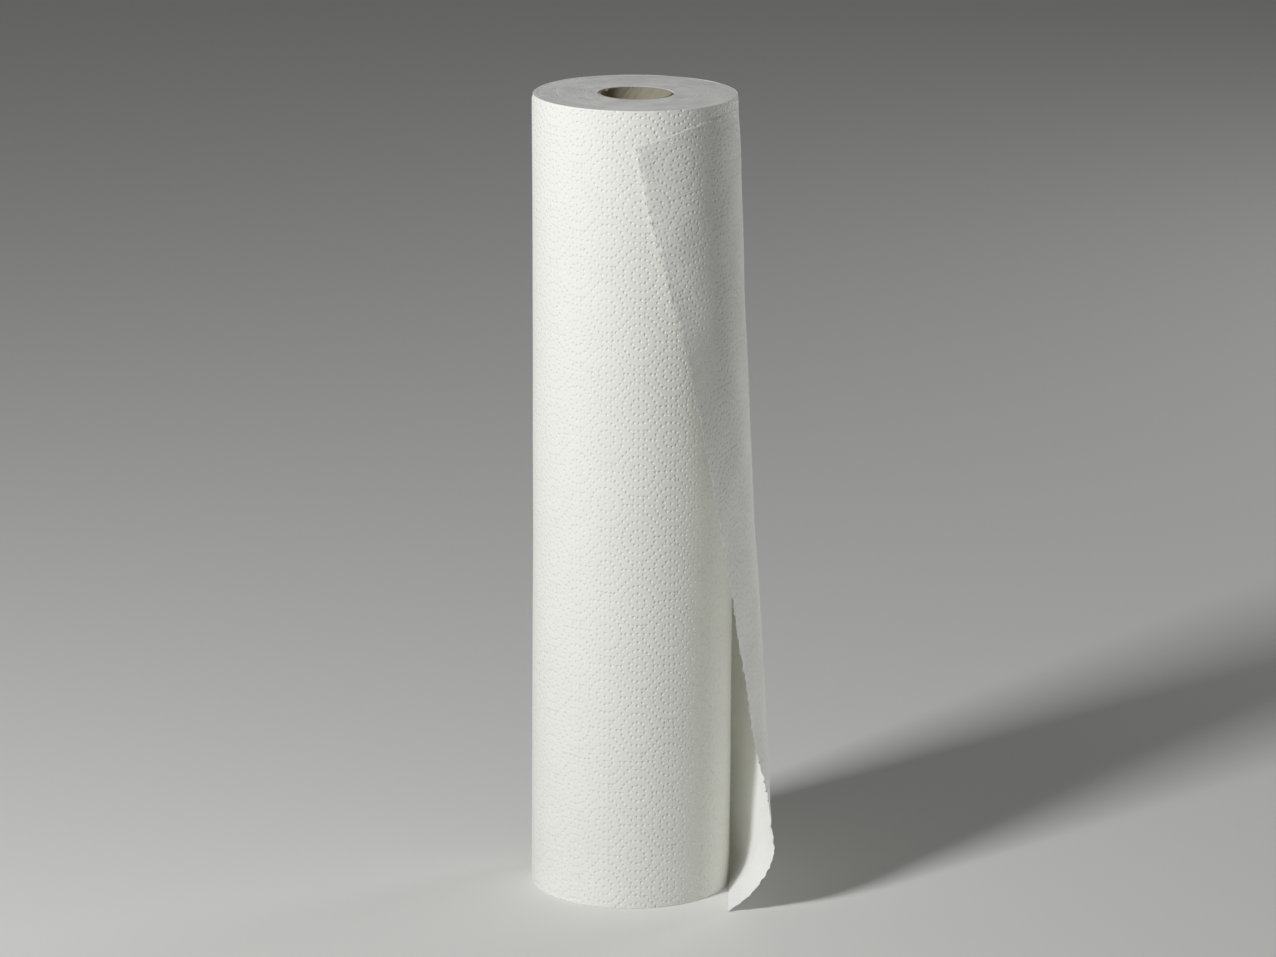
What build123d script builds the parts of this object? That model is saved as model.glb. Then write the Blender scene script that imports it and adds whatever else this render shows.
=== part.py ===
from build123d import *
import os
from math import atan2, cos, degrees, radians, sin, sqrt

# Exam table paper roll, standing on its end: a paper web wound on a cardboard core, with the outer
# turn come loose and its torn edge hanging at the front. Millimetres. The roll's axis is Z and its
# bottom end is at Z = 0. Angles round the roll are counted from the front, -Y, towards +X.

# Cardboard core
core_bore_radius = 21.5
core_wall = 1.2
core_recess = 0.6  # the core ends this far below the paper's upper end
core_glue_gap = 0.1

# Wound web
web_width = 500.0
roll_radius = 62.2  # at the lead line, where the loose turn comes away
turn_step = 0.9  # drop at the lead line to the turn below the loose one

# Turns on the end faces, drawn as one spiral groove
groove_pitch = 11.2
groove_width = 0.7
groove_depth = 0.5
groove_margin = 2.4  # from the core, and from the outside of the roll

# Loose turn
sheet_thickness = 0.4
sheet_inset = 0.1  # its outer face starts this far inside the lead line
lead_angle = 225.0
root_angle = 4.0  # how far its root reaches into the wound web
edge_standoff = 4.3  # the torn edge hangs in an upright plane this far in front of the roll

# Stations up the loose turn: the share of the web's width above the floor, how far the turn stands
# out beyond the roll's right side there, and how far to the right of the axis its torn edge is
stations = [
    (0.00, 0.0, 60.2),
    (0.03, 6.0, 77.2),
    (0.08, 10.0, 88.2),
    (0.14, 17.0, 83.0),
    (0.24, 20.2, 73.4),
    (0.46, 13.0, 55.6),
    (0.70, 6.8, 32.0),
    (0.88, 3.0, 9.8),
    (0.94, 1.7, 3.4),
    (1.00, 0.5, -3.0),
]

# Upper edge of the loose turn, as drops below the wound web's end
corner_drop = 21.0  # at the torn edge, in front of the axis
shoulder_drop = 11.5  # half way to the roll's right side
side_drop = 6.5  # at the roll's right side
lead_drop = 2.5  # at the lead line

core_radius = core_bore_radius + core_wall
under_radius = roll_radius - turn_step


def round_roll(radius, angle):
    """The point at this radius and angle round the roll's axis."""
    return Vector(radius * sin(radians(angle)), -radius * cos(radians(angle)))


def plane_angle(angle):
    """The angle round the roll as an angle from +X, as arcs take it."""
    return angle - 90


def loose_band(height, reach, edge_x):
    """One level section of the loose turn, as a thin closed band.

    It leaves the roll at the lead line on an arc just wide enough to reach out on the right, and runs
    straight off that arc to the torn edge, as paper that has sprung open does.
    """
    lead = round_roll(1, lead_angle)
    start_radius = roll_radius - sheet_inset
    arc_radius = (roll_radius + reach - lead.X * start_radius) / (1 - lead.X)
    centre = lead * (start_radius - arc_radius)
    edge = Vector(edge_x, -roll_radius - edge_standoff)
    spoke = edge - centre
    straight = sqrt(spoke.length**2 - arc_radius**2)
    end_angle = degrees(atan2(spoke.X, -spoke.Y) + atan2(straight, arc_radius))
    inner_edge = edge - round_roll(sheet_thickness, end_angle)
    sweep = lead_angle + root_angle - end_angle
    with BuildSketch(Plane.XY.offset(height)) as band:
        with BuildLine():
            outer = CenterArc(centre, arc_radius, plane_angle(end_angle), sweep)
            inner = CenterArc(centre, arc_radius - sheet_thickness, plane_angle(end_angle), sweep)
            Line(outer @ 0, edge)
            Line(edge, inner_edge)
            Line(inner_edge, inner @ 0)
            Line(inner @ 1, outer @ 1)
        make_face()
    return band.sketch


# Core tube: plain cardboard, flush with the paper at the floor and just short of it at the top
with BuildPart() as core_tube:
    with BuildSketch():
        Circle(core_radius)
        Circle(core_bore_radius, mode=Mode.SUBTRACT)
    extrude(amount=web_width - core_recess)

# Turns on an end face: a spiral that winds out clockwise, of half circles about two near centres
with BuildSketch() as turn_groove:
    first_radius = core_radius + groove_margin
    turns = int((under_radius - groove_margin - first_radius) / groove_pitch)
    with BuildLine():
        for half_turn in range(2 * turns):
            upper_half = half_turn % 2
            centre = ((upper_half - 0.5) * groove_pitch / 2, 0)
            middle = first_radius + half_turn * groove_pitch / 2
            start_angle = 180 * upper_half - 180
            low_wall = CenterArc(centre, middle - groove_width / 2, start_angle, 180)
            high_wall = CenterArc(centre, middle + groove_width / 2, start_angle, 180)
            if half_turn == 0:
                Line(low_wall @ 1, high_wall @ 1)
        Line(low_wall @ 0, high_wall @ 0)
    make_face()

# Loose turn: level sections from the floor up, then its upper edge cut down towards the torn corner
with BuildPart() as loose_turn:
    loft([loose_band(share * web_width, reach, edge_x) for share, reach, edge_x in stations])
    clear_of_roll = 2 * roll_radius
    with BuildSketch(Plane.XZ):
        with BuildLine():
            front_edge = ThreePointArc(
                (0, web_width - corner_drop),
                (roll_radius / 2, web_width - shoulder_drop),
                (roll_radius, web_width - side_drop),
            )
            Line(front_edge @ 1, (clear_of_roll, web_width - side_drop))
            Line((clear_of_roll, web_width - side_drop), (clear_of_roll, web_width + corner_drop))
            Line((clear_of_roll, web_width + corner_drop), (-clear_of_roll, web_width + corner_drop))
            low_corner = front_edge @ 0 - front_edge % 0 * clear_of_roll
            Line((-clear_of_roll, web_width + corner_drop), low_corner)
            Line(low_corner, front_edge @ 0)
        make_face()
    extrude(amount=clear_of_roll, mode=Mode.SUBTRACT)
    with BuildSketch(Plane.XZ):
        with BuildLine():
            lead = round_roll(roll_radius, lead_angle)
            Polyline(
                (lead.X, web_width - lead_drop),
                (roll_radius, web_width - side_drop),
                (clear_of_roll, web_width - side_drop),
                (clear_of_roll, web_width + corner_drop),
                (lead.X, web_width + corner_drop),
                close=True,
            )
        make_face()
    extrude(amount=-clear_of_roll, mode=Mode.SUBTRACT)

# Wound web: two half circles make its outline one turn of a spiral, with a step at the lead line
with BuildPart() as paper_roll:
    with BuildSketch():
        with BuildLine():
            lead_plane_angle = plane_angle(lead_angle)
            lead = round_roll(1, lead_angle)
            under_half = CenterArc((0, 0), under_radius, lead_plane_angle - 180, 180)
            outer_half = CenterArc(lead * turn_step / 2, under_radius + turn_step / 2, lead_plane_angle, 180)
            Line(under_half @ 1, outer_half @ 0)
        make_face()
        Circle(core_radius + core_glue_gap, mode=Mode.SUBTRACT)
    extrude(amount=web_width)
    with BuildSketch(Plane.XY.offset(web_width)):
        add(turn_groove.sketch)
    extrude(amount=-groove_depth, mode=Mode.SUBTRACT)
    with BuildSketch():
        add(turn_groove.sketch)
    extrude(amount=groove_depth, mode=Mode.SUBTRACT)
    add(loose_turn.part)

os.makedirs("parts", exist_ok=True)
core_tube.part.label = "core_tube"
export_step(core_tube.part, "parts/core_tube.step")
paper_roll.part.label = "paper_roll"
export_step(paper_roll.part, "parts/paper_roll.step")
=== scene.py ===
import bpy
import numpy as np
from mathutils import Matrix, Vector


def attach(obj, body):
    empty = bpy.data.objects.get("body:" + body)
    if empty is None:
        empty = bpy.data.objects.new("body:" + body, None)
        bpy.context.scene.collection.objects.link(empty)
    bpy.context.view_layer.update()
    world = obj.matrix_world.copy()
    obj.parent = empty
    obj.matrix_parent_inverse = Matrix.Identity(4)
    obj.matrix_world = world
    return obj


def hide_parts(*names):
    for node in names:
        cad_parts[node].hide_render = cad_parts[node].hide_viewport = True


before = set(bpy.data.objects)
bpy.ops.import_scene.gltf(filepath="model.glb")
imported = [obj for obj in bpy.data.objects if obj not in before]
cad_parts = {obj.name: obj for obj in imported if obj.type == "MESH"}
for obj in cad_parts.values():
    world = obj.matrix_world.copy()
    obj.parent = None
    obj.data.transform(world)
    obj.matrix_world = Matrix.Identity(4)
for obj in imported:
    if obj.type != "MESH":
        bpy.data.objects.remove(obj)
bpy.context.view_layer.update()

# Core tube. Two plies of grey-brown cardboard, wound on a slant and glued into a tube that the paper
# is started on. Its inner ply shows the slanting butt joint of the strip, its upper end stops just
# below the paper's with its outer ply worn back, and a chip is missing from the rim.
MM = 0.001
web_width = 500.0
core_bore_radius = 21.5
core_outer_radius = 22.7
core_height = 499.8
strip_lay = 150.0
core_columns = 240


def torus_quads(rows, columns):
    """Faces of a grid that closes on itself both ways: each point with its next in row and column."""
    row, column = np.meshgrid(np.arange(rows), np.arange(columns), indexing="ij")
    below, beside = (row + 1) % rows, (column + 1) % columns
    corners = [(row, column), (row, beside), (below, beside), (below, column)]
    return np.stack([r * columns + c for r, c in corners], axis=-1).reshape(-1, 4)


def closed_piece(name, points, face_groups, web, turn_length=np.inf, crease=40):
    """A mesh object at the origin from whole arrays in millimetres.

    points are its corners, face_groups the corners' numbers in triangles or quads, and web each
    corner's place on the unrolled strip, which becomes the UV map in metres. The volume that the faces
    enclose, a sixth of the sum of the triangles' triple products, tells which way they point, and they
    are turned round where it is negative. Where a face spans the seam of a full turn, the low side of
    it is moved up by turn_length.
    """
    def triple(a, b, c):
        return np.einsum("ij,ij", points[a], np.cross(points[b], points[c]))

    volume = sum(triple(g[:, 0], g[:, k], g[:, k + 1])
                 for g in face_groups for k in range(1, g.shape[1] - 1))
    if volume < 0:
        face_groups = [g[:, ::-1] for g in face_groups]
    mesh = bpy.data.meshes.new(name)
    mesh.from_pydata((points * MM).tolist(), [], [face for g in face_groups for face in g.tolist()])
    places = []
    for g in face_groups:
        along, across = web[g, 0], web[g, 1]
        spans = np.ptp(along, axis=1, keepdims=True) > turn_length / 2
        low = along < along.mean(axis=1, keepdims=True)
        along = np.where(spans & low, along + turn_length, along)
        places.append(np.stack([along, across], axis=-1).ravel())
    mesh.uv_layers.new(name="web").data.foreach_set("uv", np.concatenate(places) * MM)
    mesh.shade_smooth()
    mesh.set_sharp_from_angle(angle=np.radians(crease))
    piece = bpy.data.objects.new(name, mesh)
    bpy.context.scene.collection.objects.link(piece)
    return piece


def core_surface():
    """The tube's section, a closed line out, over the rim, in and back, carried round the axis.

    Columns climb with the strip's slant, so that the butt joint, a shallow groove beside a raised lip,
    follows one column all the way up. The rim has a line between its plies, and a chip where a bell
    curve of the distance round the rim takes it down.
    """
    outer_rows, bore_rows, worn_back = 40, 80, 0.7
    rise, fall = np.linspace(0, core_height - worn_back, outer_rows), np.linspace(core_height, 0, bore_rows)
    across = np.linspace(0, 1, 9)[1:-1]
    rounding = 0.22 * np.abs(2 * across - 1) ** 3
    ply_line = 0.25 * np.exp(-((across - 0.5) / 0.12) ** 2)
    rim_drop = rounding + ply_line + 0.15 * np.clip(1 - across / 0.4, 0, 1)
    wall = core_outer_radius - core_bore_radius
    radius = np.concatenate([np.full(outer_rows, core_outer_radius), core_outer_radius - wall * across,
                             np.full(bore_rows, core_bore_radius), core_bore_radius + wall * across])
    height = np.concatenate([rise, core_height - rim_drop, fall, rounding])
    inner = np.concatenate([np.zeros(outer_rows), across, np.ones(bore_rows), np.zeros(across.size)])
    spread = np.arange(core_columns) / core_columns
    radius, height, inner = (line[:, None] + 0 * spread for line in (radius, height, inner))
    angle = np.radians(188) + 2 * np.pi * (spread + (core_height - height) / strip_lay)
    from_joint = (spread - np.round(spread)) * 2 * np.pi * core_bore_radius
    lip = np.where(from_joint > 0, np.exp(-from_joint / 5), 0)
    groove = np.exp(-((from_joint / 0.7) ** 2))
    on_inner_wall = (inner == 1) * 1.0
    radius = radius + on_inner_wall * (0.08 * groove - 0.06 * lip)
    chip_angle, chip_depth, chip_inset = np.radians(236), 1.1, 0.1
    round_rim = np.angle(np.exp(1j * (angle - chip_angle))) * core_bore_radius
    near_top = np.clip((height - core_height + 4) / 4, 0, 1)
    chip = np.exp(-((round_rim / 1.5) ** 2)) * near_top * inner
    height = height - chip_depth * chip
    radius = radius - chip_inset * chip
    points = np.stack([radius * np.sin(angle), -radius * np.cos(angle), height], axis=-1)
    web = np.stack([spread * 2 * np.pi * core_bore_radius + 0 * height, height], axis=-1)
    return points.reshape(-1, 3), web.reshape(-1, 2), points.shape[0]


class Wire:
    """A shader socket that arithmetic works on: each operator adds the Math node that it stands for."""

    def __init__(self, tree, socket):
        self.tree, self.socket = tree, socket

    def add(self, kind, settings=None, sockets=None, out=0):
        """Add a node of this type, with its settings set first and then its sockets' values or links."""
        node = self.tree.nodes.new("ShaderNode" + kind)
        for name, value in (settings or {}).items():
            setattr(node, name, value)
        for name, value in (sockets or {}).items():
            if isinstance(value, Wire):
                self.tree.links.new(value.socket, node.inputs[name])
            else:
                node.inputs[name].default_value = value
        return Wire(self.tree, node.outputs[out])

    def math(self, operation, *values):
        """A Math node of this operation on these values."""
        return self.add("Math", {"operation": operation}, dict(enumerate(values)))

    def part(self, axis):
        """One coordinate of a vector."""
        return self.add("SeparateXYZ", None, {0: self}, "XYZ".index(axis))

    def step(self, low, high, start=0.0, end=1.0):
        """A smooth step from start to end as the value goes from low to high."""
        sockets = {"Value": self, "From Min": low, "From Max": high, "To Min": start, "To Max": end}
        return self.add("MapRange", {"interpolation_type": "SMOOTHSTEP"}, sockets)

    def noise(self, scale, detail=2.0, rough=0.5):
        """Soft noise from 0 to 1 at this place, of this many waves to a unit."""
        sockets = {"Vector": self, "Scale": scale, "Detail": detail, "Roughness": rough}
        return self.add("TexNoise", None, sockets)

    def tint(self, low, high):
        """A colour between two, by this value."""
        settings = {"data_type": "RGBA", "clamp_factor": True}
        return self.add("Mix", settings, {0: self, 6: (*low, 1), 7: (*high, 1)}, 2)

    def __add__(self, other):
        return self.math("ADD", self, other)

    def __sub__(self, other):
        return self.math("SUBTRACT", self, other)

    def __rsub__(self, other):
        return self.math("SUBTRACT", other, self)

    def __mul__(self, other):
        return self.math("MULTIPLY", self, other)

    def __truediv__(self, other):
        return self.math("DIVIDE", self, other)

    __radd__, __rmul__ = __add__, __mul__


def vector(x, y, z):
    """A vector of three values, at least one of them from a socket."""
    first = next(value for value in (x, y, z) if isinstance(value, Wire))
    return first.add("CombineXYZ", None, {0: x, 1: y, 2: z})


def material_with(name, roughness, **constants):
    """A new material: its shader, with fixed values set on its own sockets, and its two coordinates."""
    material = bpy.data.materials.new(name)
    material.use_nodes = True
    tree = material.node_tree
    shader = tree.nodes["Principled BSDF"]
    shader.inputs["Roughness"].default_value = roughness
    for socket, value in constants.items():
        shader.inputs[socket.replace("_", " ")].default_value = value
    web = tree.nodes.new("ShaderNodeUVMap")
    web.uv_map = "web"
    place = tree.nodes.new("ShaderNodeTexCoord")
    return material, shader, Wire(tree, web.outputs["UV"]), Wire(tree, place.outputs["Object"])


def finish_shader(shader, colour, height):
    """Link a colour, and a relief in millimetres, to the shader."""
    tree = colour.tree
    bump = height.add("Bump", None, {"Height": height, "Distance": MM, "Strength": 1.0})
    tree.links.new(colour.socket, shader.inputs["Base Color"])
    tree.links.new(bump.socket, shader.inputs["Normal"])


def core_board():
    """Recycled board: long grey and tan fibres and soft clouds along the strip, both noise drawn out
    that way, with dark flecks."""
    material, shader, web, place = material_with("core_board", 0.88, Specular_IOR_Level=0.25)
    along, across = web.part("Y"), web.part("X")
    fibres = vector(across / MM, along / (9 * MM), 0.0).noise(0.9, 4.0, 0.6)
    cloud = vector(across / MM, along / (2 * MM), 0.0).noise(0.09, 3.0)
    fleck = place.noise(900.0, 1.0).step(0.66, 0.74)
    tone = fibres * 0.6 + cloud * 0.4
    paler = tone.step(0.3, 0.7).tint((0.30, 0.275, 0.205), (0.47, 0.435, 0.335))
    dark = (0.16, 0.14, 0.10, 1)
    flecked = paler.add("Mix", {"data_type": "RGBA"}, {0: fleck * 0.5, 6: paler, 7: dark}, 2)
    finish_shader(shader, flecked, fibres * 0.12 + cloud * 0.1)
    return material


core_points, core_web, core_rows = core_surface()
core_faces = torus_quads(core_rows, core_columns)
core = closed_piece("core_board_tube", core_points, [core_faces], core_web, 2 * np.pi * core_bore_radius)
core.data.materials.append(core_board())
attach(core, "root")
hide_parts("core_tube")

# Wound web. Some two hundred turns of two-ply embossed paper, slit clean at both ends, where the turns
# show as fine rings. The outside is one turn of a spiral, with a step at the back where the loose turn
# comes away, and on the left the outermost turn sits a little lower than the rest.
roll_radius = 62.2
turn_step = 0.2
lead_angle = np.radians(225)
paper_bore_radius = 22.8
rim_round = 0.35
roll_columns = 384
top_rows, bottom_rows, side_rows = 112, 40, 64


def soft_waves(x, y, longest, count, seed):
    """Gentle unevenness of about -1 to 1: the sum of sine waves of random heading, length and phase."""
    draw = np.random.default_rng(seed)
    heading, phase = draw.uniform(0, 2 * np.pi, (2, count))
    wave = 2 * np.pi / (longest * draw.uniform(0.3, 1, count))
    total = 0
    for k in range(count):
        total = total + np.sin(wave[k] * (x * np.cos(heading[k]) + y * np.sin(heading[k])) + phase[k])
    return total / np.sqrt(count)


def ease(value, low, high):
    """A smooth step from 0 to 1 as the value goes from low to high."""
    share = np.clip((value - low) / (high - low), 0, 1)
    return share * share * (3 - 2 * share)


def wound_radius(angle):
    """Radius of the wound web's outside: past the lead line it falls by a half circle about a centre
    half a step off the axis, and the other half circle is about the axis."""
    off, big = turn_step / 2, roll_radius - turn_step / 2
    turned = np.mod(angle - lead_angle, 2 * np.pi)
    falling = off * np.cos(turned) + np.sqrt(big**2 - (off * np.sin(turned)) ** 2)
    return np.where(turned <= np.pi, falling, roll_radius - turn_step)


def flare(height):
    """How far the turns have spread at the upper end, from nothing at two thirds of the height."""
    return 0.45 * ease(height, 330, web_width)


def swell(angle, height):
    """Where the wound web stands out of its spiral: spread at the upper end, more so on the left, slack
    below the middle there, and softly uneven all over."""
    left = np.maximum(-np.sin(angle), 0) ** 2
    slack = 0.35 * ease(height, 330, web_width) - 0.5 * np.exp(-(((height - 195) / 95) ** 2))
    uneven = 0.12 * soft_waves(angle * roll_radius, height, 240.0, 10, 31)
    return flare(height) + left * slack + uneven * ease(height, 0, 60)


def outer_turn_drop(turned):
    """How far the outermost turn's upper edge lies below the roll's end, by the angle from the lead
    line: low on the left, a thin lip along the front that ends short of the middle, and low again on
    the right."""
    left = 2.2 * (1 - ease(turned, np.radians(50), np.radians(112)))
    front = 0.5 * (1 - ease(turned, np.radians(143), np.radians(145)))
    right = 1.9 * np.exp(-(((turned - np.radians(232)) / np.radians(24)) ** 4))
    return 0.2 + left + front + right


def end_relief(radius, angle, seed):
    """Depth of an end face below its plane: rings where groups of turns sit lower, fading in and out
    round the roll, one loose spiral between turns, and broad dents."""
    x, y = radius * np.cos(angle), radius * np.sin(angle)
    rings = soft_waves(radius, 0 * radius, 5.0, 14, seed)
    fade = 0.6 + 0.4 * soft_waves(x, y, 90.0, 6, seed + 1)
    spiral_pitch, gap_width = 11.2, 0.45
    winding = (radius - paper_bore_radius) / spiral_pitch + angle / (2 * np.pi)
    gap = np.exp(-(((winding - np.round(winding)) * spiral_pitch / gap_width) ** 2))
    inside = ease(radius, paper_bore_radius, paper_bore_radius + 3) * (1 - ease(radius, 57, 60))
    broad = soft_waves(x, y, 60.0, 8, seed + 2)
    return np.maximum(0.15 + 0.025 * rings * fade + 0.06 * gap * inside * fade + 0.08 * broad, 0)


def wound_surface():
    """The roll's section, a closed line over the bottom, up the side, over the top and down the bore,
    carried once round the axis from the lead line back to it, where the ends differ by the step."""
    turned = np.linspace(0, 2 * np.pi, roll_columns)
    angle = turned + lead_angle
    outside = np.where(turned < np.pi, wound_radius(angle), roll_radius - turn_step)
    drop = outer_turn_drop(turned)
    ledge = 0.2 * ease(drop, 0.2, 0.5) + 0.14 * (drop - 0.2)

    def end_face(rows, bore_radius, rim_radius, seed):
        radius = bore_radius + np.linspace(0, 1, rows)[:, None] * (rim_radius - bore_radius)
        return radius, end_relief(radius, angle + 0 * radius, seed)

    corner = np.radians([15, 40, 65])[:, None]
    rim_radius = outside + swell(angle, web_width) - ledge
    bore_gap = 0.5 + 0.3 * np.cos(angle - np.radians(75))
    bottom_radius, bottom_depth = end_face(bottom_rows, paper_bore_radius, outside - rim_round, 11)
    top_radius, top_depth = end_face(top_rows, paper_bore_radius + bore_gap, rim_radius - rim_round, 21)
    bore_depth = np.array([3.0, 8.0, 16.0, 30.0])[:, None]
    rim_low = outside - rim_round * (1 - np.sin(corner)), rim_round * (1 - np.cos(corner)) + 0 * outside
    rim_high = rim_radius - rim_round * (1 - np.cos(corner)), rim_round * np.sin(corner) + 0 * outside
    edge_line = web_width - rim_round - drop
    side_height = rim_round + np.linspace(0, 1, side_rows)[:, None] * (edge_line - rim_round)
    above = np.array([0.1, 0.35, 0.7, 1.0])[:, None]
    radius = np.concatenate([
        bottom_radius, rim_low[0], outside + swell(angle, side_height), rim_radius + 0 * above, rim_high[0],
        top_radius[::-1], paper_bore_radius + bore_gap * (1 - bore_depth / bore_depth[-1])])
    height = np.concatenate([
        bottom_depth, rim_low[1], side_height, edge_line + above * drop, web_width - rim_round + rim_high[1],
        web_width - top_depth[::-1], web_width - bore_depth + 0 * angle])
    points = np.stack([radius * np.sin(angle), -radius * np.cos(angle), height], axis=-1)
    web = np.stack([(angle - 2 * np.pi) * roll_radius + 0 * height, height], axis=-1)
    on_side = np.zeros(len(radius), bool)
    on_side[bottom_rows:len(radius) - top_rows - len(bore_depth)] = True
    return points.reshape(-1, 3), web.reshape(-1, 2), on_side


def embossed_paper(name, pit_depth, crepe_depth, pit_paleness_or_shade, glow, shade=1.0):
    """Two-ply tissue with embossed rosettes, by its place on the unrolled strip.

    Rosettes stand on two interleaved square lattices. Round the nearer centre, at a distance r and an
    angle, dots lie on rings 5.1 mm apart, ten more to each ring, so that all are 3.2 mm apart along
    their ring. Along the seam of two rosettes the dots are 3.3 mm apart in a line, and where four meet
    they lie in a short row along the strip, 3.6 mm apart. Low noise sways all of it a little. A dot is
    a round pit in the distance from its middle. Above zero its tint setting paints it paler: embossing
    whitens the plies it squeezes together, and the paleness is also a painted highlight of dots catching
    the light. Below zero the setting paints the pit darker, painted shade in the pit.
    Crepe lines are noise drawn out along the strip, and fibres are finer noise that also tints the
    paper. glow is the share of light that goes into the sheet and shows on its other side, and shade
    darkens the whole of it.
    """
    material, shader, web, _ = material_with(
        name, 0.92, Specular_IOR_Level=0.2,
        Subsurface_Weight=glow, Subsurface_Scale=MM, Subsurface_Radius=(1, 1, 1 - glow / 4))
    half_pitch, first_centre = (20.06, 20.32), (23.93, 13.5)
    ring_gap, seam_gap, row_gap = 5.1, 3.3, 3.6
    dots_per_radian = 10 / (2 * np.pi)
    seam_half, row_half_length, row_half_width = 1.7, 9.0, 2.5
    dot_radius, sway = 1.25, 2.5

    def length(a, b):
        return a.math("SQRT", a * a + b * b)

    def from_nearest(value, gap):
        return value - value.math("ROUND", value / gap) * gap

    def to_centre(shift):
        x, y = (place.math("WRAP", place - first - shift * half, half, -half)
                for place, first, half in zip((along, across), first_centre, half_pitch))
        return x, y, length(x, y)

    along, across = web.part("X") / MM, web.part("Y") / MM
    strip = vector(along, across, 0.0)
    along = along + (strip.noise(0.07, 1.0) - 0.5) * sway
    across = across + (vector(across, along, 50.0).noise(0.07, 1.0) - 0.5) * sway
    x1, y1, r1 = to_centre(0)
    x2, y2, r2 = to_centre(1)
    nearer = r1.math("LESS_THAN", r1, r2)
    x, y = x2 + nearer * (x1 - x2), y2 + nearer * (y1 - y2)
    r = r1.math("MINIMUM", r1, r2)
    ring = r.math("ROUND", r / ring_gap)
    turn = x.math("ARCTAN2", x, y) * ring * dots_per_radian
    beside = from_nearest(turn, 1.0) * (ring_gap / dots_per_radian)
    from_dot = length(r - ring * ring_gap, beside)
    far_x, far_y = x.math("ABSOLUTE", x), y.math("ABSOLUTE", y)
    to_seam = (sum(half_pitch) / 2 - far_x - far_y) / np.sqrt(2)
    along_seam = (far_x - far_y) / np.sqrt(2)
    on_seam = r.math("LESS_THAN", to_seam, seam_half)
    from_dot = from_dot + on_seam * (length(to_seam, from_nearest(along_seam, seam_gap)) - from_dot)
    above = r.math("LESS_THAN", far_x, far_y)
    row_x = (half_pitch[0] - far_x) + above * (x - half_pitch[0] + far_x)
    row_y = y + above * (half_pitch[1] - far_y - y)
    in_length = r.math("LESS_THAN", r.math("ABSOLUTE", row_x), row_half_length)
    in_width = r.math("LESS_THAN", r.math("ABSOLUTE", row_y), row_half_width)
    from_row = length(from_nearest(row_x, row_gap), row_y)
    from_dot = from_dot + in_length * in_width * (from_row - from_dot)
    pit = from_dot.step(0.1, dot_radius, 1.0, 0.0)
    uneven = strip.noise(0.12, 1.0)
    crepe = vector(along / 60.0, across, 0.0).noise(0.5, 1.5, 0.5)
    fibre = vector(along / 2.0, across, 0.0).noise(2.1, 3.0, 0.6)
    cloud = strip.noise(0.035, 3.0, 0.55)
    mottle = strip.noise(0.33, 2.0, 0.6)
    uneven_tone = (fibre * 0.3 + mottle * 0.3 + cloud * 0.4).step(0.3, 0.7)
    # Pit tint: paler above zero, partly whiter squeezed plies and partly a painted highlight; darker below
    # zero, painted shade in the pits.
    pale = uneven_tone * 0.35 + 0.32 + pit * pit_paleness_or_shade
    colour = pale.tint(*(shade * np.array([(0.81, 0.815, 0.772), (0.92, 0.925, 0.882)])))
    relief = crepe * crepe_depth + fibre * 0.05 - pit * (0.5 + uneven) * pit_depth
    finish_shader(shader, colour, relief)
    return material


def slit_ends():
    """The slit edges of the turns, seen end on: fine rings from noise drawn out round the axis, paler
    and darker sweeps of painted light and shade for turns that lean one way or the other, and a grain of torn
    fibres."""
    material, shader, _, place = material_with("slit_ends", 0.95, Specular_IOR_Level=0.15)
    x, y = place.part("X") / MM, place.part("Y") / MM
    radius = x.math("SQRT", x * x + y * y)
    east, north = x / radius, y / radius
    rings = vector(east * 2.0, north * 2.0, radius * 1.1).noise(1.0, 3.0, 0.65)
    fine = vector(east * 9.0, north * 9.0, radius * 2.6).noise(1.0, 2.0, 0.6)
    # Painted light and shade: paler and darker sweeps round the end, standing in for turns that lean one way
    # or the other.
    painted_lean_shade = vector(east * 1.5, north * 1.5, radius * 0.05).noise(1.6, 2.0)
    grain = vector(x, y, 0.0).noise(1.4, 3.0, 0.7)
    tone = rings * 0.3 + fine * 0.2 + painted_lean_shade * 0.3 + grain * 0.2
    colour = tone.step(0.33, 0.67).tint((0.65, 0.65, 0.632), (0.93, 0.93, 0.912))
    finish_shader(shader, colour, rings * 0.14 + fine * 0.2 + grain * 0.3)
    return material


roll_points, roll_web, roll_on_side = wound_surface()
roll_faces = torus_quads(roll_on_side.size, roll_columns)
roll = closed_piece("wound_web", roll_points, [roll_faces], roll_web)
# The roll's pits are tinted paler: whiter squeezed plies, and a painted highlight.
roll.data.materials.append(embossed_paper("embossed_paper", 0.38, 0.1, 0.6, 0.0))
roll.data.materials.append(slit_ends())
face_row = np.arange(len(roll_faces)) // roll_columns
slit_face = ~roll_on_side[face_row]
roll.data.polygons.foreach_set("material_index", slit_face.astype(np.int32))
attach(roll, "root")
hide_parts("paper_roll")

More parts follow.
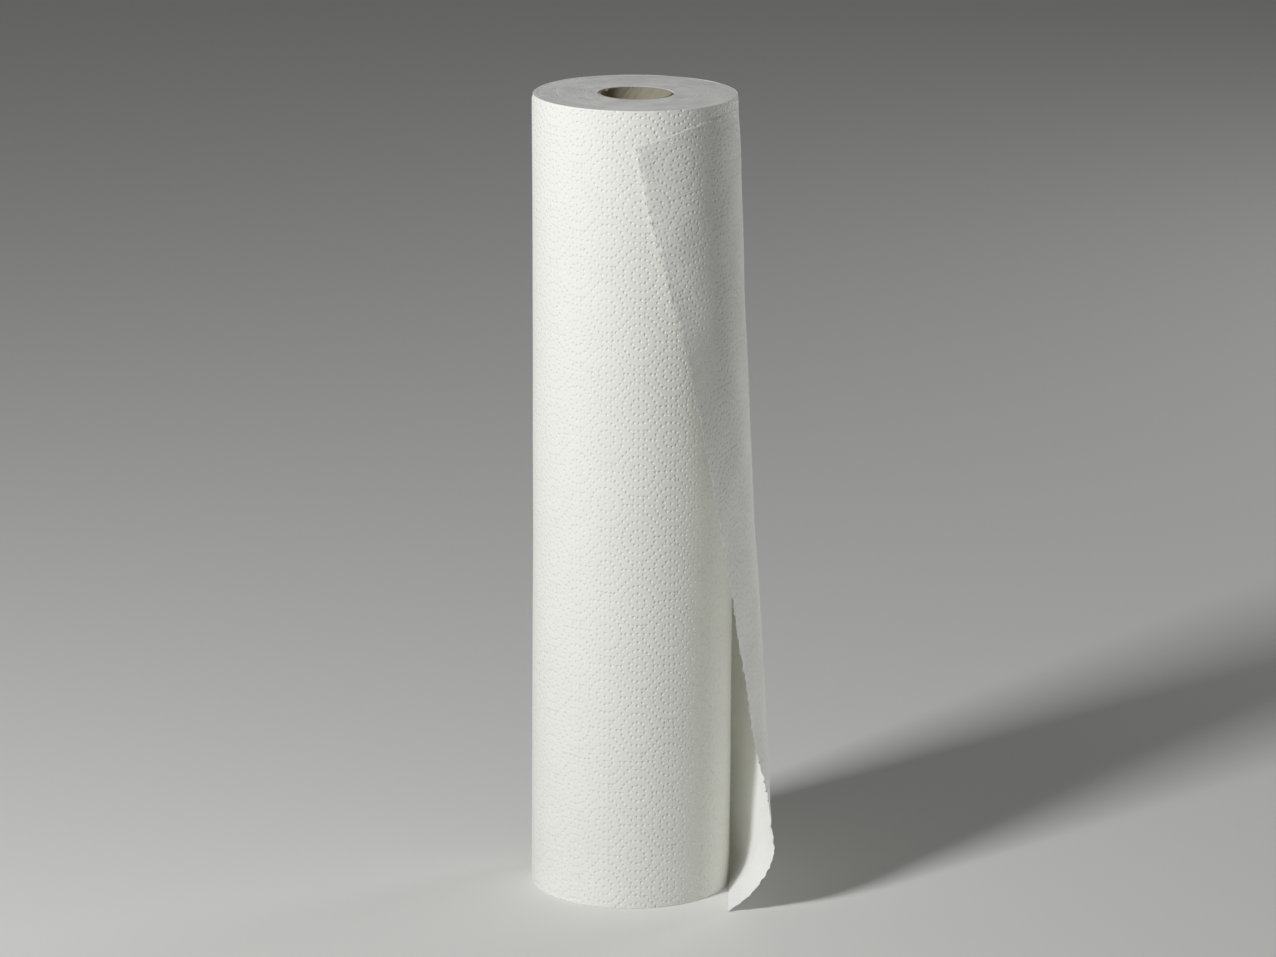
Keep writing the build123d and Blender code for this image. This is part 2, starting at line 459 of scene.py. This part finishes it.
# Loose turn. The last turn of the same strip, sprung open on the right: it leaves the roll at the back,
# bellies out above the floor and ends in front in the edge torn at the perforation, with a nub of
# fibres left at each bridge. Its upper edge sinks towards the torn corner.
sheet_thickness = 0.3
sheet_gap = 0.25
tucked = -0.02
perforation_pitch = 6.1
torn_length = 235.0
torn_strip = 3.2
sheet_rows, sheet_columns, torn_columns, finer = 330, 124, 6, 4
opened = np.array([
    # share of the width above the floor, angle where it opens off the roll, reach beyond the roll's
    # right side, and the torn edge's distances to the right and to the front of the axis
    (0.000, 132, 0.0, 60.2, 66.5), (0.025, 130, 9.0, 74.7, 68.0), (0.050, 129, 14.5, 83.5, 69.8),
    (0.067, 129, 17.6, 86.6, 71.2), (0.083, 129, 20.2, 87.6, 72.4), (0.100, 129, 22.8, 87.0, 73.8),
    (0.118, 130, 24.1, 85.8, 75.0), (0.142, 133, 23.6, 82.8, 76.4), (0.190, 144, 22.2, 78.4, 77.6),
    (0.268, 160, 19.9, 71.8, 78.0), (0.342, 171, 17.7, 65.8, 77.6), (0.500, 184, 12.0, 52.1, 74.2),
    (0.620, 192, 8.9, 40.5, 70.8), (0.700, 198, 6.8, 32.0, 68.8), (0.860, 211, 3.3, 10.7, 66.3),
    (0.930, 214, 1.9, 2.7, 65.6), (1.000, 216, 0.55, -5.0, 65.0),
])
upper_edge = np.array([
    # share of the way to the torn edge, drop of the upper edge below the roll's end
    (0.0, 2.9), (0.3, 4.4), (0.6, 6.5), (0.75, 7.6), (0.85, 11.2), (0.92, 15.9), (1.0, 20.9),
])


def smooth_through(value, knots, heights):
    """The cubic line through these heights at these knots, each knot's slope that of its neighbours."""
    slope = np.gradient(heights, knots)
    k = np.clip(np.searchsorted(knots, value) - 1, 0, len(knots) - 2)
    gap = knots[k + 1] - knots[k]
    t = np.clip((value - knots[k]) / gap, 0, 1)
    rise = heights[k] * (1 + 2 * t) * (1 - t) ** 2 + heights[k + 1] * t * t * (3 - 2 * t)
    return rise + gap * (slope[k] * t * (1 - t) ** 2 - slope[k + 1] * t * t * (1 - t))


def torn_nubs(across):
    """How far the torn edge stands out of the perforation line, and how far it is bent out of the
    sheet: a small bell at each bridge, of random size, width, bend and shift, on a line that is a
    little ragged and a little wavy."""
    bridge = np.round(across / perforation_pitch).astype(int)
    size, width, bend, shift = np.random.default_rng(5).uniform(
        [[0.3], [0.4], [-0.6], [-1.2]], [[1.4], [0.85], [0.4], [1.2]], (4, bridge.max() + 1))
    from_bridge = across - bridge * perforation_pitch - shift[bridge]
    bell = np.exp(-((from_bridge / width[bridge]) ** 2))
    ragged = 0.2 * soft_waves(across, 0 * across, 2.4, 8, 6)
    wavy = 0.3 * soft_waves(across, 0 * across, 9.0, 8, 7)
    return size[bridge] * bell + ragged - 0.3, bend[bridge] * bell + wavy


def loose_surface(way, share):
    """The loose turn's outer face by the way along it, 0 at the lead line and 1 at the torn edge, and by
    the share of its height. At each level it lies round the roll from the lead line to the angle where
    it opens, goes on there in an arc wide enough to stand out on the right by the reach, and runs
    straight off that arc to the torn edge. It starts flush with the roll, crinkles and flutters more
    towards the torn edge, and its upper edge lies snug on the roll up to where it comes free. Returns
    points, outward normals and web places.
    """
    height = share * (web_width - smooth_through(np.clip(way, 0, 1), *upper_edge.T))
    level = height / web_width
    opening, reach, edge_x, edge_front = (
        smooth_through(level, opened[:, 0], column) for column in opened[:, 1:].T)
    opening = np.radians(opening)
    start = roll_radius + sheet_gap + flare(height)
    arc_radius = (roll_radius + reach - np.sin(opening) * start) / (1 - np.sin(opening))
    centre_x, centre_y = np.sin(opening) * (start - arc_radius), -np.cos(opening) * (start - arc_radius)
    spoke_x, spoke_y = edge_x - centre_x, -edge_front - centre_y
    straight = np.sqrt(np.maximum(spoke_x**2 + spoke_y**2 - arc_radius**2, 0))
    end_angle = np.arctan2(spoke_x, -spoke_y) + np.arctan2(straight, arc_radius)
    on_roll = start * (lead_angle - opening)
    on_arc = arc_radius * (opening - end_angle)
    torn = ease(way, 0.99, 1.0)
    nubs, bent = torn_nubs(share * web_width)
    along = way * (on_roll + on_arc + straight) + nubs * torn
    past_roll = along - on_roll
    past_arc = np.maximum(past_roll - on_arc, 0)
    lies = past_roll < 0
    angle = np.where(lies, lead_angle - along / start, opening - np.minimum(past_roll, on_arc) / arc_radius)
    out_x, out_y = np.sin(angle), -np.cos(angle)
    leaves = ease(way, tucked, 0.04)
    flush = wound_radius(angle) + swell(angle, height) - 0.06
    round_radius = np.where(lies, flush + leaves * (start - flush), arc_radius)
    x = np.where(lies, 0, centre_x) + round_radius * out_x + past_arc * out_y
    y = np.where(lies, 0, centre_y) + round_radius * out_y - past_arc * out_x
    free = ease(way, 0.05, 0.5)
    crinkle = 0.2 * soft_waves(along, height, 70.0, 16, 41)
    crinkle = crinkle + 0.04 * soft_waves(along, height * 3, 40.0, 12, 42)
    flutter = 0.35 * soft_waves(height, 0 * height, 90.0, 6, 43) * ease(way, 0.8, 1.0)
    snug = ease(share, 0.97, 0.995) * (1 - ease(way, 0.7, 0.84))
    round_axis = np.arctan2(x, -y)
    to_roll = wound_radius(round_axis) + swell(round_axis, height) + 0.12 - np.hypot(x, y)
    lift = free * (crinkle * (1 - snug) * ease(height, 0, 8) + flutter * ease(height, 0, 30)) + snug * to_roll
    lift = lift + bent * torn * ease(height, 0, 6) * (1.4 - 0.4 * ease(height, 80, 160))
    lift = lift - 0.5 * ease(way, 0.7, 0.85) * ease(share, 0.997, 1.0) ** 2
    points = np.stack([x + lift * out_x, y + lift * out_y, height], axis=-1)
    normals = np.stack([out_x, out_y, 0 * height], axis=-1)
    web = np.stack([(lead_angle - 2 * np.pi) * roll_radius - way * torn_length, share * web_width], axis=-1)
    return points, normals, web


def loose_shell():
    """Both faces of the loose turn and its rim, as one closed shell that thins out to the fibres of
    the torn edge and towards the upper edge. Along the torn edge runs a strip with finer rows, joined
    to the coarser ones by a fan at each coarse row."""
    torn_from = 1 - torn_strip / torn_length
    levels = np.concatenate([np.linspace(0, 0.994, sheet_rows - 5), np.linspace(0.995, 1, 6)])
    fine_levels = np.interp(np.arange(sheet_rows * finer + 1) / finer, np.arange(sheet_rows + 1), levels)
    coarse_way, coarse_share = np.meshgrid(
        np.linspace(tucked, torn_from, sheet_columns), levels, indexing="ij")
    fine_way, fine_share = np.meshgrid(
        np.linspace(torn_from, 1, torn_columns + 1)[1:], fine_levels, indexing="ij")
    coarse, fine = loose_surface(coarse_way, coarse_share), loose_surface(fine_way, fine_share)
    outer, normal, web = (np.concatenate([a.reshape(-1, a.shape[-1]), b.reshape(-1, b.shape[-1])])
                          for a, b in zip(coarse, fine))
    number = np.arange(coarse_way.size).reshape(coarse_way.shape)
    fine_number = coarse_way.size + np.arange(fine_way.size).reshape(fine_way.shape)

    def strip(grid):
        corners = [grid[:-1, :-1], grid[1:, :-1], grid[1:, 1:], grid[:-1, 1:]]
        return np.stack(corners, axis=-1).reshape(-1, 4)

    low, high, near = number[-1, :-1], number[-1, 1:], fine_number[0]
    fan = [np.stack([low, near[k:-1:finer], near[k + 1::finer]], axis=-1) for k in (0, 1)]
    fan += [np.stack([low, near[2:-1:finer], high], axis=-1)]
    fan += [np.stack([high, near[k:-1:finer], near[k + 1::finer]], axis=-1) for k in (2, 3)]
    outer_faces = [strip(number), strip(fine_number), *fan]
    behind = len(outer)
    inner_faces = [g[:, ::-1] + behind for g in outer_faces]
    border = np.concatenate([number[:, 0], fine_number[:, 0], fine_number[-1, 1:], fine_number[-2::-1, -1],
                             number[::-1, -1], number[0, -2::-1]])
    rim = np.stack([border[1:], border[:-1], border[:-1] + behind, border[1:] + behind], axis=-1)
    way = np.concatenate([coarse_way.ravel(), fine_way.ravel()])
    share = np.concatenate([coarse_share.ravel(), fine_share.ravel()])
    thickness = sheet_thickness * (1 - 0.8 * ease(way, torn_from, 1)) * (1 - 0.6 * ease(share, 0.996, 1))
    points = np.concatenate([outer, outer - thickness[:, None] * normal])
    return points, np.concatenate([web, web]), outer_faces, inner_faces, rim


sheet_points, sheet_web, sheet_outer, sheet_inner, sheet_rim = loose_shell()
sheet = closed_piece("loose_turn", sheet_points, [*sheet_outer, sheet_rim, *sheet_inner], sheet_web)
# The outer face's pits are tinted darker, painted shade in them; the back's are a little paler, partly
# squeezed plies and partly a painted highlight.
sheet.data.materials.append(embossed_paper("loose_paper", 0.32, 0.32, -0.6, 0.4))
sheet.data.materials.append(embossed_paper("loose_paper_back", -0.1, 0.1, 0.2, 1.0, 0.95))
outer_count = sum(len(g) for g in sheet_outer) + len(sheet_rim)
back_face = np.arange(len(sheet.data.polygons)) >= outer_count
sheet.data.polygons.foreach_set("material_index", back_face.astype(np.int32))
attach(sheet, "root")
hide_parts("paper_roll")

# Floor. A plain pale sheet of matt paper, wide enough to fill the view.
floor_mesh = bpy.data.meshes.new("floor")
floor_mesh.from_pydata([(-6, -6, 0), (6, -6, 0), (6, 9, 0), (-6, 9, 0)], [], [(0, 1, 2, 3)])
floor = bpy.data.objects.new("floor", floor_mesh)
bpy.context.scene.collection.objects.link(floor)
floor_paper = bpy.data.materials.new("floor_paper")
floor_paper.use_nodes = True
floor_shader = floor_paper.node_tree.nodes["Principled BSDF"]
floor_shader.inputs["Base Color"].default_value = (0.8, 0.8, 0.785, 1)
floor_shader.inputs["Roughness"].default_value = 0.9
floor_mesh.materials.append(floor_paper)

# Light. One soft box at the front left, a weaker one low on the right behind the roll, and a dim, pale
# surround.
world = bpy.data.worlds.new("surround")
world.use_nodes = True
world.node_tree.nodes["Background"].inputs["Color"].default_value = (1.0, 1.0, 0.96, 1)
world.node_tree.nodes["Background"].inputs["Strength"].default_value = 0.09
bpy.context.scene.world = world


def soft_box(name, angle, rise, distance, size, power):
    """A square lamp at this angle round the roll from the front and this rise, turned to the roll."""
    lamp = bpy.data.lights.new(name, "AREA")
    lamp.shape, lamp.size, lamp.energy = "SQUARE", size, power
    box = bpy.data.objects.new(name, lamp)
    bpy.context.scene.collection.objects.link(box)
    turn, up = np.radians(angle), np.radians(rise)
    place = Vector((np.sin(turn) * np.cos(up), -np.cos(turn) * np.cos(up), np.sin(up)))
    box.location = place * distance + Vector((0, 0, 0.25))
    box.rotation_euler = place.to_track_quat("Z", "Y").to_euler()


soft_box("key", -44.5, 34, 2.6, 0.42, 51)
soft_box("fill", 125, 4, 3.0, 0.7, 27.5)

# Camera. A long lens at the front, looking a little down on the roll.
pitch, roll_turn, yaw = np.radians([14.2145, 0.3882, 0.0526])
forward = np.array([np.sin(yaw) * np.cos(pitch), np.cos(yaw) * np.cos(pitch), -np.sin(pitch)])
level_right = np.array([np.cos(yaw), -np.sin(yaw), 0])
level_up = np.cross(level_right, forward)
right = np.cos(roll_turn) * level_right + np.sin(roll_turn) * level_up
up = np.cos(roll_turn) * level_up - np.sin(roll_turn) * level_right
lens = bpy.data.cameras.new("camera")
picture_width, focal_length = 1276, 5513.13
lens.sensor_width = 36
lens.lens = lens.sensor_width * focal_length / picture_width
camera = bpy.data.objects.new("camera", lens)
bpy.context.scene.collection.objects.link(camera)
turned_camera = Matrix(np.stack([right, up, -forward], axis=1)).to_4x4()
camera.matrix_world = Matrix.Translation((0, -3.29927, 1.0943)) @ turned_camera
bpy.context.scene.camera = camera
bpy.context.scene.view_settings.view_transform = "Standard"
